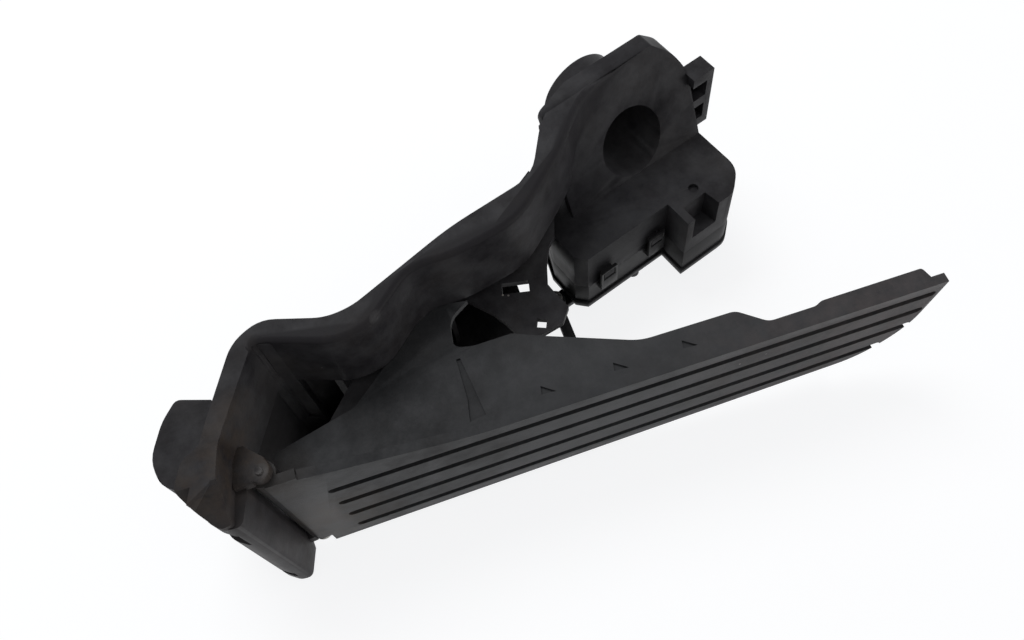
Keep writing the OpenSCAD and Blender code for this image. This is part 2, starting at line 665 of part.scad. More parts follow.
module return_spring_inner() color([0.6, 0.6, 0.6]) installed() at_top()
    coil(inner_coil_r, inner_wire_r, coil_x, 0.9);

// Friction ring in the cover, facing the drum's flange.
ring_x0 = drum_x1 + seat_gap;
ring_x1 = ring_x0 + 2.4;
module friction_ring() color([0.3, 0.25, 0.2]) installed() at_top() difference() {
    cross_pin(drum_flange_r - 0.5, ring_x0, ring_x1, shaft_axis);
    cross_pin(ring_inner_r, ring_x0 - 1, ring_x1 + 1, shaft_axis);
}

module magnet_holder() color([0.85, 0.85, 0.8]) installed() at_top() difference() {
    cross_pin(6.4, magnet_x + 0.4, bulkhead_x - 0.4, shaft_axis);
    cross_pin(4.5, magnet_x, magnet_x + magnet_t, shaft_axis);
    cross_pin(shaft_r, shaft_x0, bulkhead_x, shaft_axis);
}
module rotor_magnet() color([0.3, 0.3, 0.32]) installed() at_top()
    cross_pin(4.5, magnet_x, magnet_x + magnet_t, shaft_axis);

// Circuit board on four posts in the sensor box, its chips and its screws.
module sensor_board() color([0.1, 0.35, 0.18]) installed() at_top() difference() {
    translate([board_x, box_front + wall + 0.5, board_low])
        cube([board_t, board_d, board_high - board_low]);
    for (p = board_posts) cross_pin(0.9, board_x - 1, board_x + board_t + 1, p);
}
module hall_sensors() color([0.08, 0.08, 0.08]) installed() at_top() {
    for (u = [shaft_u - 2.5, shaft_u - 14]) translate([board_x + board_t, shaft_v - 2.5, u])
        cube([1.2, 5, 5]);
    translate([board_x + board_t, shaft_v - 3, shaft_u - 26]) cube([1, 6, 4]);
}
module board_screws() color([0.75, 0.75, 0.72]) installed() at_top() for (p = board_posts) {
    cross_pin(0.88, wall + 0.6, board_x + board_t + 0.1, p);
    difference() {
        cross_pin(1.8, board_x + board_t, board_x + board_t + 1.2, p);
        translate([board_x + board_t + 0.7, p[0] - 0.3, p[1] - 1.3]) cube([1, 0.6, 2.6]);
    }
}

// Cover of the sensor box with its bearing boss, ring seat and two snap clips.
module sensor_cover() color([0.1, 0.1, 0.105]) installed() {
    cover_shell();
    for (p = stop_places) cross_pin(stop_post_r, box_far - 1, lever_x + lever_t, p);
}
module cover_shell() at_top() difference() {
    union() {
        difference() {
            across(parting_x, box_far) polygon(box_outline(0));
            across(parting_x - 1, box_far - cover_wall) polygon(box_outline(cover_wall));
        }
        cross_pin(ring_inner_r - 0.6, outer_bush_x, box_far, shaft_axis);
        difference() {
            cross_pin(drum_flange_r + 1, ring_x1, box_far - 1, shaft_axis);
            cross_pin(ring_inner_r + 1, ring_x1 - 1, box_far - cover_wall, shaft_axis);
        }
        for (c = clip_places) difference() {
            translate([parting_x - 8, box_front - 2.8, c]) cube([12, 1.4, clip_w]);
            translate([parting_x - 7, box_front - 3.8, c + 1.2]) cube([4.4, 4, clip_w - 2.4]);
        }
        for (c = clip_places) translate([parting_x + 0.6, box_front - 2.8, c]) cube([3.4, 3.4, clip_w]);
        // Raised rim round the end of the cover.
        difference() {
            across(cover_rim_x, cover_rim_x + 2.4) polygon(box_outline(-cover_rim));
            across(cover_rim_x - 1, box_far) polygon(box_outline(0.4));
        }
    }
    cross_pin(bush_r, outer_bush_x - 1, box_far + 1, shaft_axis);
}
module cover_gasket() color([0.2, 0.2, 0.2]) installed() at_top() difference() {
    across(parting_x - 1.2, parting_x + 1.2) polygon(box_outline(cover_wall));
    across(parting_x - 2, parting_x + 2) polygon(box_outline(cover_wall + 1.2));
}

// Sensor arm outside the cover, turning with the shaft.
module bar(r0, r1, w, x0, x1, a, b) {
    d = b - a;
    cross_pin(r0, x0, x1, a);
    cross_pin(r1, x0, x1, b);
    across(x0, x1) polygon([for (s = [[0, -w[0]], [1, -w[1]], [1, w[1]],
        [0, w[0]]]) a + s[0] * d + s[1] * [-d[1], d[0]] / norm(d)]);
}
module lever_arm() color([0.14, 0.14, 0.145]) installed() difference() {
    union() {
        bar(shaft_r + 4, eye_r, [shaft_r + 3, eye_r - 0.6], lever_x, lever_x + lever_t, shaft_at,
            lever_tip);
        bar(2, 1.5, [1.4, 1.4], lever_x + lever_t - 0.5, lever_x + lever_t + 1,
            shaft_at + 0.2 * (lever_tip - shaft_at),
            shaft_at + 0.85 * (lever_tip - shaft_at));
    }
    cross_pin(shaft_r, lever_x - 1, lever_x + lever_t + 2, shaft_at);
    cross_pin(rod_pin_r, lever_x - 1, lever_x + lever_t + 2, lever_tip);
}

// Push rod with an eye on the sensor arm's pin and a pin of its own in the tread's slot.
pin_gap = 0.05;
module link_rod() color([0.16, 0.16, 0.165]) installed() difference() {
    bar(eye_r, eye_r, [rod_w / 2, rod_w / 2], rod_x0, rod_x1, lever_tip, lower_pivot);
    cross_pin(rod_pin_r + pin_gap, rod_x0 - 1, rod_x1 + 1, lever_tip);
    cross_pin(rod_pin_r, rod_x0 - 1, rod_x1 + 1, lower_pivot);
}
stop_r = 2.6;
stop_post_r = 1.4;
// Half width of the arm at distance r from the shaft, and a stop's place beside it.
function arm_half(r) = shaft_r + 3 + (eye_r - 0.6 - shaft_r - 3) * r / lever_l;
function stop_at(r, arm_angle, side) = let(a = arm_angle + side * asin((arm_half(r) + stop_r + 0.3) / r))
    [shaft_at[0] - r * sin(a), shaft_at[1] - r * cos(a)];
stop_places = [stop_at(28, lever_rest, 1), stop_at(20, lever_rest - lever_ratio * travel, -1)];
module rod_pin_upper() color([0.72, 0.72, 0.7]) installed() {
    cross_pin(rod_pin_r, rod_x0 - 1.6, lever_x + lever_t, lever_tip);
    cross_pin(rod_pin_r + 1.2, rod_x0 - 1.6, rod_x0 - seat_gap, lever_tip);
}
module rod_pin_lower() color([0.72, 0.72, 0.7]) installed() {
    cross_pin(rod_pin_r, lug_x0 - 1, rod_x1, lower_pivot);
    cross_pin(rod_pin_r + 1, lug_x0 - 1.6, lug_x0 - seat_gap, lower_pivot);
}

// Blade contacts in the connector socket, and the flat lead up to the sensor box.
contact_xs = [for (i = [0 : 5]) -17.2 + i * 4.6];
module contact_pins() color([0.75, 0.65, 0.4]) installed() for (x = contact_xs)
    translate([x - 0.4, 14, -26.5]) cube([0.8, socket_y1 - 11 - 14, 1.6]);
module sensor_lead() color([0.12, 0.12, 0.12]) installed()
    across(lead_x, lead_x + 5) polygon(concat(lead_line, reversed(beside(lead_line, 1.2))));
lead_x = 6;
lead_line = rounded([[socket_y1 + 1.2, -21.4, 0], [43, -18, 3], [45.5, 13, 3], [63.5, 57, 5],
    [83.6, 99, 5], [93.6, 117, 0]]);

// Two rubber sleeves on posts of the cover, which the sensor arm meets at rest and at full travel.
module travel_stop() color([0.1, 0.1, 0.1]) installed() for (p = stop_places) difference() {
    cross_pin(stop_r, box_far, lever_x + lever_t - 0.4, p);
    cross_pin(stop_post_r, box_far - 1, lever_x + lever_t + 1, p);
}

housing();
pedal();
mount_sleeve();
hinge_pin();
hinge_clip();
lever_shaft();
bearing_bridge();
shaft_bush_inner();
shaft_bush_outer();
spring_drum();
return_spring_outer();
return_spring_inner();
friction_ring();
magnet_holder();
rotor_magnet();
sensor_board();
hall_sensors();
board_screws();
sensor_cover();
cover_gasket();
lever_arm();
rod_pin_upper();
rod_pin_lower();
link_rod();
contact_pins();
sensor_lead();
travel_stop();
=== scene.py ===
import json
import math
import bmesh
import bpy
from mathutils import Vector, Matrix


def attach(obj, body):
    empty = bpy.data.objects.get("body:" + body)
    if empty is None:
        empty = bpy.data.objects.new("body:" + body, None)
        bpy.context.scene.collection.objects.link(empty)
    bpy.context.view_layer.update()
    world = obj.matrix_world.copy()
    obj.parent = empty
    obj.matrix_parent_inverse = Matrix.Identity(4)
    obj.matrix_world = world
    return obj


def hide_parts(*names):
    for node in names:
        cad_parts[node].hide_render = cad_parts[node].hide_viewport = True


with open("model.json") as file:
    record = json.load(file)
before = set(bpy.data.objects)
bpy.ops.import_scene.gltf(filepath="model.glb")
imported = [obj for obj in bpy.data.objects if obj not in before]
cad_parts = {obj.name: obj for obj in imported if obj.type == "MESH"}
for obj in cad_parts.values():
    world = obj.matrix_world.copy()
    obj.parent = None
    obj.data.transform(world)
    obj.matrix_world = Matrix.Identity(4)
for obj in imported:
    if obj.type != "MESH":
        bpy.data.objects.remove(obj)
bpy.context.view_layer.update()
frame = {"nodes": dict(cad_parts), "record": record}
nodes = frame["nodes"]
print("frame loaded:", len(nodes), "nodes")

mm = 0.001
heelOrigin = Vector((-14.0, 119.4, 145.2))  # the bolt seat as seen from the heel hinge


def fromHeel(x, y, z):
    return (Vector((x, y, z)) - heelOrigin) * mm


# Small helpers for the shader trees.
def newGroup(name, inputs, outputs):
    group = bpy.data.node_groups.new(name, "ShaderNodeTree")
    for label, kind, value in inputs:
        socket = group.interface.new_socket(label, in_out="INPUT", socket_type=kind)
        socket.default_value = value
    for label, kind in outputs:
        group.interface.new_socket(label, in_out="OUTPUT", socket_type=kind)
    return group, group.nodes.new("NodeGroupInput"), group.nodes.new("NodeGroupOutput")


def mathNode(tree, operation, a, b=None, clamp=False):
    node = tree.nodes.new("ShaderNodeMath")
    node.operation = operation
    node.use_clamp = clamp
    for slot, value in enumerate((a, b)):
        if value is None:
            continue
        if isinstance(value, (int, float)):
            node.inputs[slot].default_value = value
        else:
            tree.links.new(value, node.inputs[slot])
    return node.outputs[0]


def mixColor(tree, factor, a, b):
    node = tree.nodes.new("ShaderNodeMix")
    node.data_type = "RGBA"
    for key, value in ((0, factor), (6, a), (7, b)):
        if isinstance(value, (int, float, tuple)):
            node.inputs[key].default_value = value
        else:
            tree.links.new(value, node.inputs[key])
    return node.outputs[2]


def noise(tree, vector, scale, detail=4.0, roughness=0.55):
    node = tree.nodes.new("ShaderNodeTexNoise")
    node.inputs["Detail"].default_value = detail
    node.inputs["Roughness"].default_value = roughness
    tree.links.new(vector, node.inputs["Vector"])
    if isinstance(scale, (int, float)):
        node.inputs["Scale"].default_value = scale
    else:
        tree.links.new(scale, node.inputs["Scale"])
    return node.outputs[0]


def ramp(tree, value, low, high):
    node = tree.nodes.new("ShaderNodeMapRange")
    node.inputs["From Min"].default_value = low
    node.inputs["From Max"].default_value = high
    tree.links.new(value, node.inputs["Value"])
    return node.outputs[0]


# Fine moulded grain: a height for the bump and a slow tint over the surface.
def buildGrain():
    group, gin, gout = newGroup("mouldedGrain", [
        ("Grain Scale", "NodeSocketFloat", 1800.0), ("Cloud Scale", "NodeSocketFloat", 22.0)],
        [("Height", "NodeSocketFloat"), ("Cloud", "NodeSocketFloat")])
    place = group.nodes.new("ShaderNodeTexCoord").outputs["Object"]
    fine = noise(group, place, gin.outputs["Grain Scale"], 3.0, 0.6)
    pores = group.nodes.new("ShaderNodeTexVoronoi")
    pores.inputs["Scale"].default_value = 900.0
    group.links.new(place, pores.inputs["Vector"])
    height = mathNode(group, "ADD", mathNode(group, "MULTIPLY", fine, 0.7),
                      mathNode(group, "MULTIPLY", pores.outputs["Distance"], 0.3))
    group.links.new(height, gout.inputs["Height"])
    group.links.new(noise(group, place, gin.outputs["Cloud Scale"], 5.0, 0.6), gout.inputs["Cloud"])
    return group


# Wear on proud edges, and dirt in the hollows, from the pointiness of the mesh.
def buildWear():
    group, gin, gout = newGroup("edgeWear", [
        ("Edge", "NodeSocketFloat", 0.54), ("Hollow", "NodeSocketFloat", 0.46)],
        [("Edge Mask", "NodeSocketFloat"), ("Hollow Mask", "NodeSocketFloat")])
    place = group.nodes.new("ShaderNodeTexCoord").outputs["Object"]
    point = group.nodes.new("ShaderNodeNewGeometry").outputs["Pointiness"]
    patch = noise(group, place, 95.0, 6.0, 0.65)
    sharp = mathNode(group, "MULTIPLY", mathNode(group, "SUBTRACT", point, gin.outputs["Edge"]), 9.0, True)
    edge = mathNode(group, "MULTIPLY", sharp, ramp(group, patch, 0.35, 0.65), True)
    group.links.new(edge, gout.inputs["Edge Mask"])
    deep = mathNode(group, "MULTIPLY", mathNode(group, "SUBTRACT", gin.outputs["Hollow"], point), 9.0, True)
    group.links.new(deep, gout.inputs["Hollow Mask"])
    return group


# Dust that lies in soft patches, with a few pale specks and short scuffs.
def buildDust():
    group, gin, gout = newGroup("dustAndScuffs", [
        ("Dust Scale", "NodeSocketFloat", 38.0), ("Scuff Scale", "NodeSocketFloat", 160.0)],
        [("Dust Mask", "NodeSocketFloat"), ("Speck Mask", "NodeSocketFloat"), ("Scuff Mask", "NodeSocketFloat")])
    place = group.nodes.new("ShaderNodeTexCoord").outputs["Object"]
    dust = ramp(group, noise(group, place, gin.outputs["Dust Scale"], 8.0, 0.7), 0.48, 0.72)
    group.links.new(dust, gout.inputs["Dust Mask"])
    spots = group.nodes.new("ShaderNodeTexVoronoi")
    spots.inputs["Scale"].default_value = 210.0
    group.links.new(place, spots.inputs["Vector"])
    few = ramp(group, noise(group, place, 31.0, 2.0, 0.5), 0.66, 0.72)
    speck = mathNode(group, "MULTIPLY", mathNode(group, "LESS_THAN", spots.outputs["Distance"], 0.085), few)
    group.links.new(speck, gout.inputs["Speck Mask"])
    stretch = group.nodes.new("ShaderNodeMapping")
    stretch.inputs["Scale"].default_value = (1.0, 1.0, 0.12)
    stretch.inputs["Rotation"].default_value = (0.35, 0.2, 0.0)
    group.links.new(place, stretch.inputs["Vector"])
    scuff = ramp(group, noise(group, stretch.outputs[0], gin.outputs["Scuff Scale"], 9.0, 0.75), 0.62, 0.74)
    group.links.new(scuff, gout.inputs["Scuff Mask"])
    return group


# A soft patch round one place of the part, broken up by noise: for gathered dust and lighter patches, and on the
# tread also for painted shade and painted light.
def buildPatch():
    group, gin, gout = newGroup("dustAndPaintedLightPatch", [
        ("Centre", "NodeSocketVector", (0.0, 0.0, 0.0)), ("Reach", "NodeSocketFloat", 0.02)],
        [("Mask", "NodeSocketFloat")])
    place = group.nodes.new("ShaderNodeTexCoord").outputs["Object"]
    apart = group.nodes.new("ShaderNodeVectorMath")
    apart.operation = "DISTANCE"
    group.links.new(place, apart.inputs[0])
    group.links.new(gin.outputs["Centre"], apart.inputs[1])
    share = mathNode(group, "DIVIDE", apart.outputs["Value"], gin.outputs["Reach"])
    near = mathNode(group, "SUBTRACT", 1.0, share, True)
    broken = ramp(group, noise(group, place, 150.0, 7.0, 0.7), 0.32, 0.62)
    group.links.new(mathNode(group, "MULTIPLY", mathNode(group, "POWER", near, 0.7), broken), gout.inputs["Mask"])
    return group


grainGroup, wearGroup, dustGroup, patchGroup = buildGrain(), buildWear(), buildDust(), buildPatch()


def useGroup(tree, group, **values):
    node = tree.nodes.new("ShaderNodeGroup")
    node.node_tree = group
    for label, value in values.items():
        node.inputs[label.replace("_", " ")].default_value = value
    return node.outputs


# Tones that wear and dirt bring to every plastic, and the wear's shares that all plastics have alike.
plasticTones = {
    "edge": (0.09, 0.09, 0.095, 1), "dust": (0.07, 0.062, 0.055, 1), "hollow": (0.045, 0.033, 0.025, 1),
    "scuff": (0.1, 0.1, 0.105, 1), "speck": (0.5, 0.47, 0.43, 1),
}
plasticShares = {"hollow": 0.35, "speck": 0.7, "cloudRough": 0.18, "dustRough": 0.16}
grainDepth, lineDepth = 0.0004, 0.0002


def plasticMaterial(name, base, tint, roughness=0.42, grainScale=1800.0, bump=0.12, dust=0.3, edge=0.35,
                    scuff=0.12, specular=0.4, patches=()):
    material = bpy.data.materials.new(name)
    material.use_nodes = True
    tree = material.node_tree
    shader = tree.nodes["Principled BSDF"]
    shader.inputs["Specular IOR Level"].default_value = specular
    grain = useGroup(tree, grainGroup, Grain_Scale=grainScale)
    wear = useGroup(tree, wearGroup)
    dirt = useGroup(tree, dustGroup)
    color = mixColor(tree, grain["Cloud"], base, tint)
    for mask, share, tone in (
            (wear["Edge Mask"], edge, "edge"), (dirt["Dust Mask"], dust, "dust"),
            (wear["Hollow Mask"], plasticShares["hollow"], "hollow"), (dirt["Scuff Mask"], scuff, "scuff"),
            (dirt["Speck Mask"], plasticShares["speck"], "speck")):
        color = mixColor(tree, mathNode(tree, "MULTIPLY", mask, share), color, plasticTones[tone])
    # Each patch mixes its tone into the colour: gathered dust and pale marks, and on the tread painted shade and
    # painted light.
    for centre, reach, amount, tone in patches:
        patchDustAndLight = useGroup(tree, patchGroup, Centre=centre, Reach=reach)
        color = mixColor(tree, mathNode(tree, "MULTIPLY", patchDustAndLight["Mask"], amount), color, tone)
    tree.links.new(color, shader.inputs["Base Color"])
    cloudy = mathNode(tree, "MULTIPLY", grain["Cloud"], plasticShares["cloudRough"])
    dusty = mathNode(tree, "MULTIPLY", dirt["Dust Mask"], plasticShares["dustRough"])
    rough = mathNode(tree, "ADD", cloudy, roughness - plasticShares["cloudRough"] / 2)
    rough = mathNode(tree, "ADD", rough, dusty, True)
    tree.links.new(rough, shader.inputs["Roughness"])
    relief = tree.nodes.new("ShaderNodeBump")
    relief.inputs["Strength"].default_value = bump
    relief.inputs["Distance"].default_value = grainDepth
    tree.links.new(grain["Height"], relief.inputs["Height"])
    tree.links.new(relief.outputs[0], shader.inputs["Normal"])
    return material


def metalMaterial(name, base, roughness, tarnish=0.3, bump=0.15, hollowTone=(0.06, 0.045, 0.035, 1)):
    material = bpy.data.materials.new(name)
    material.use_nodes = True
    tree = material.node_tree
    shader = tree.nodes["Principled BSDF"]
    shader.inputs["Metallic"].default_value = 1.0
    place = tree.nodes.new("ShaderNodeTexCoord").outputs["Object"]
    lines = noise(tree, place, 1400.0, 6.0, 0.7)
    cloud = noise(tree, place, 130.0, 5.0, 0.6)
    wear = useGroup(tree, wearGroup)
    dark = tuple(c * 0.45 for c in base[:3]) + (1,)
    color = mixColor(tree, mathNode(tree, "MULTIPLY", ramp(tree, cloud, 0.45, 0.7), tarnish), base, dark)
    color = mixColor(tree, mathNode(tree, "MULTIPLY", wear["Hollow Mask"], 0.5), color, hollowTone)
    tree.links.new(color, shader.inputs["Base Color"])
    rough = mathNode(tree, "ADD", mathNode(tree, "MULTIPLY", lines, 0.25), roughness - 0.1, True)
    tree.links.new(rough, shader.inputs["Roughness"])
    relief = tree.nodes.new("ShaderNodeBump")
    relief.inputs["Strength"].default_value = bump
    relief.inputs["Distance"].default_value = lineDepth
    tree.links.new(lines, relief.inputs["Height"])
    tree.links.new(relief.outputs[0], shader.inputs["Normal"])
    return material


# Soft patches on the parts: centre, reach in metres, amount and tone. On the housing they are gathered dust, pale
# wear marks and lighter patches; on the tread they are gathered dust, painted shade that darkens the heel end,
# and painted light that brightens the toe.
brownDust, paleMark = (0.075, 0.055, 0.040, 1), (0.22, 0.22, 0.225, 1)
housingMarks = [
    (fromHeel(-34, 6, 3), 0.020, 0.75, brownDust),
    (fromHeel(-44, -10, -13), 0.018, 0.55, brownDust),
    (fromHeel(10, -14, -12), 0.050, 0.45, (0.058, 0.050, 0.050, 1)),
    (fromHeel(-44, 96, 141), 0.030, 0.20, (0.05, 0.05, 0.056, 1)),
    (fromHeel(0, 67, 144), 0.045, 0.55, (0.042, 0.043, 0.048, 1)),
    (fromHeel(-44, -6, -4), 0.005, 0.5, paleMark),
    (fromHeel(-31.5, -1, 1), 0.003, 0.6, paleMark),
    (fromHeel(-44, 30, 50), 0.004, 0.45, paleMark),
]
treadDustAndPaintedLight = [
    (fromHeel(-20, 0, 2), 0.016, 0.6, brownDust),
    # painted light: a paler patch brightens the toe of the tread, where more light falls
    (fromHeel(0, -16, 225), 0.090, 0.55, (0.110, 0.092, 0.092, 1)),
    # painted shade: a near-black patch darkens the tread towards its heel end, where less light falls
    (fromHeel(-16, -10, 34), 0.075, 0.85, (0.012, 0.0125, 0.014, 1)),
    (fromHeel(20, -12, 8), 0.030, 0.45, brownDust),
]

materials = {
    "housing_plastic": plasticMaterial(
        "housingPlastic", (0.0125, 0.0115, 0.0135, 1), (0.018, 0.017, 0.019, 1), roughness=0.48, dust=0.2,
        specular=0.10, patches=housingMarks),
    "tread_plastic": plasticMaterial(
        "treadPlastic", (0.031, 0.032, 0.034, 1), (0.040, 0.041, 0.044, 1), roughness=0.52,
        grainScale=2200.0, bump=0.16, dust=0.16, edge=0.3, scuff=0.16, specular=0.15, patches=treadDustAndPaintedLight),
    "cover_plastic": plasticMaterial(
        "coverPlastic", (0.017, 0.017, 0.018, 1), (0.024, 0.024, 0.026, 1), roughness=0.42,
        grainScale=1500.0, bump=0.08, dust=0.18, specular=0.14),
    "natural_plastic": plasticMaterial(
        "naturalPlastic", (0.60, 0.57, 0.50, 1), (0.66, 0.63, 0.57, 1), roughness=0.45,
        grainScale=1500.0, bump=0.06, dust=0.1, edge=0.1),
    "friction_plastic": plasticMaterial(
        "frictionPlastic", (0.11, 0.08, 0.055, 1), (0.15, 0.11, 0.08, 1), roughness=0.6,
        grainScale=1200.0, bump=0.2),
    "chip_resin": plasticMaterial(
        "chipResin", (0.025, 0.025, 0.026, 1), (0.035, 0.035, 0.036, 1), roughness=0.5,
        grainScale=2600.0, bump=0.08, dust=0.05),
    "rubber": plasticMaterial(
        "softRubber", (0.022, 0.022, 0.023, 1), (0.032, 0.032, 0.033, 1), roughness=0.66,
        grainScale=1300.0, bump=0.1, dust=0.3, edge=0.15),
    "board_laminate": plasticMaterial(
        "boardLaminate", (0.02, 0.15, 0.06, 1), (0.03, 0.19, 0.08, 1), roughness=0.3,
        grainScale=900.0, bump=0.04, dust=0.1, edge=0.2),
    "steel": metalMaterial("zincSteel", (0.55, 0.54, 0.52, 1), roughness=0.34),
    "spring_steel": metalMaterial("springWire", (0.33, 0.33, 0.34, 1), roughness=0.3),
    "bronze": metalMaterial("sinteredBronze", (0.55, 0.40, 0.2, 1), roughness=0.42),
    "magnet_alloy": metalMaterial("magnetAlloy", (0.2, 0.2, 0.21, 1), roughness=0.5),
}
print("materials made:", len(materials))

slotOf = {entry["node"]: entry["material_slot"] for entry in frame["record"]["subparts"]}
for name, obj in nodes.items():
    obj.data.materials.clear()
    obj.data.materials.append(materials[slotOf[name]])


# The large mouldings get soft edges on merged copies of their solids.
def mergedCopy(name, newName, weld=2e-6, flat=0.6):
    mesh = nodes[name].data.copy()
    mesh.name = newName
    work = bmesh.new()
    work.from_mesh(mesh)
    bmesh.ops.remove_doubles(work, verts=work.verts, dist=weld)
    bmesh.ops.dissolve_limit(work, angle_limit=math.radians(flat), verts=work.verts, edges=work.edges)
    work.to_mesh(mesh)
    work.free()
    obj = bpy.data.objects.new(newName, mesh)
    bpy.context.scene.collection.objects.link(obj)
    return obj


def applied(obj):
    graph = bpy.context.evaluated_depsgraph_get()
    mesh = bpy.data.meshes.new_from_object(obj.evaluated_get(graph))
    obj.modifiers.clear()
    old = obj.data
    obj.data = mesh
    bpy.data.meshes.remove(old)


# Rounds only the proud edges that the test picks, so that inner corners gain no material.
def roundEdges(obj, width, segments, picks, angle=32.0):
    work = bmesh.new()
    work.from_mesh(obj.data)
    layers = work.edges.layers.float
    weight = layers.get("bevel_weight_edge") or layers.new("bevel_weight_edge")
    marked = 0
    for edge in work.edges:
        proud = len(edge.link_faces) == 2 and edge.calc_face_angle_signed(0.0) > math.radians(angle)
        edge[weight] = 1.0 if proud and picks(edge) else 0.0
        marked += edge[weight] > 0.5
    work.to_mesh(obj.data)
    work.free()
    bevel = obj.modifiers.new("roundEdges", "BEVEL")
    bevel.width = width
    bevel.segments = segments
    bevel.limit_method = "WEIGHT"
    bevel.use_clamp_overlap = picks is anyEdge
    print(obj.name, "edges rounded:", marked)
    applied(obj)


def anyEdge(edge):
    return True


# The long rim at the left, where the side turns into the front, is rounded more than the rest.
def frontRim(x, lowest, reach=2e-5, facing=-0.25):
    def picks(edge):
        onRim = all(abs(v.co.x - x) < reach and v.co.z > lowest for v in edge.verts)
        return onRim and min(face.normal.y for face in edge.link_faces) < facing
    return picks


def smoothShade(obj, angle=34.0):
    work = bmesh.new()
    work.from_mesh(obj.data)
    for face in work.faces:
        face.smooth = True
    limit = math.radians(angle)
    for edge in work.edges:
        edge.smooth = len(edge.link_faces) == 2 and edge.calc_face_angle(0.0) < limit
    work.to_mesh(obj.data)
    work.free()
    obj.data.materials.clear()


rimSegments, edgeSegments = 4, 2
roundedPieces = {
    "housing": {"piece": "housingMoulding", "body": "base", "width": 0.5, "rim": 2.2, "rimX": -44.0,
                "rimFrom": 2.0},
    "pedal": {"piece": "treadMoulding", "body": "tread", "width": 0.35},
    "sensor_cover": {"piece": "coverMoulding", "body": "base", "width": 0.3},
    "lever_arm": {"piece": "leverMoulding", "body": "lever", "width": 0.4},
    "link_rod": {"piece": "rodMoulding", "body": "rod", "width": 0.4},
}
for name, spec in roundedPieces.items():
    piece = mergedCopy(name, spec["piece"])
    if "rim" in spec:
        rimPlace = fromHeel(spec["rimX"], 0, spec["rimFrom"])
        roundEdges(piece, spec["rim"] * mm, rimSegments, frontRim(rimPlace.x, rimPlace.z))
    roundEdges(piece, spec["width"] * mm, edgeSegments, anyEdge)
    smoothShade(piece)
    piece.data.materials.append(materials[slotOf[name]])
    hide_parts(name)
    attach(piece, spec["body"])
    print("piece", spec["piece"], len(piece.data.polygons), "faces")


# Small helpers for the geometry trees.
def newTree(name, inputs):
    tree = bpy.data.node_groups.new(name, "GeometryNodeTree")
    for label, kind, value in inputs:
        socket = tree.interface.new_socket(label, in_out="INPUT", socket_type=kind)
        socket.default_value = value
    tree.interface.new_socket("Geometry", in_out="OUTPUT", socket_type="NodeSocketGeometry")
    return tree, tree.nodes.new("NodeGroupInput").outputs, tree.nodes.new("NodeGroupOutput")


def geometryNode(tree, kind, **values):
    node = tree.nodes.new(kind)
    for label, value in values.items():
        socket = node.inputs[label.replace("_", " ")]
        if isinstance(value, bpy.types.NodeSocket):
            tree.links.new(value, socket)
        else:
            socket.default_value = value
    return node


def vectorOf(tree, x=0.0, y=0.0, z=0.0):
    return geometryNode(tree, "ShaderNodeCombineXYZ", X=x, Y=y, Z=z).outputs[0]


def closeTree(tree, geometry, out, material):
    real = geometryNode(tree, "GeometryNodeRealizeInstances", Geometry=geometry)
    finish = geometryNode(tree, "GeometryNodeSetMaterial", Geometry=real.outputs[0])
    finish.inputs["Material"].default_value = material
    tree.links.new(finish.outputs[0], out.inputs[0])


def meshFromTree(tree, name, values, place):
    obj = bpy.data.objects.new(name, bpy.data.meshes.new(name))
    bpy.context.scene.collection.objects.link(obj)
    modifier = obj.modifiers.new(name, "NODES")
    modifier.node_group = tree
    for item in tree.interface.items_tree:
        if item.item_type == "SOCKET" and item.in_out == "INPUT":
            modifier[item.identifier] = values[item.name]
    applied(obj)
    obj.data.transform(place)
    smoothShade(obj, 40.0)
    return obj


# Return springs: one wire wound round the shaft, with a straight leg at each end.
springSizes = {
    "start": 18.2, "pitch": 2.267, "turns": 4, "steps": 32, "firstLeg": 0.9, "lastLeg": 3.33,
    "shaftV": -46.0, "shaftU": 3.0, "tilt": 19.0, "topY": 122.43, "topZ": 153.99,
    "coils": {"outerSpring": ("return_spring_outer", 11.0, 0.9),
              "innerSpring": ("return_spring_inner", 8.0, 0.8)},
}


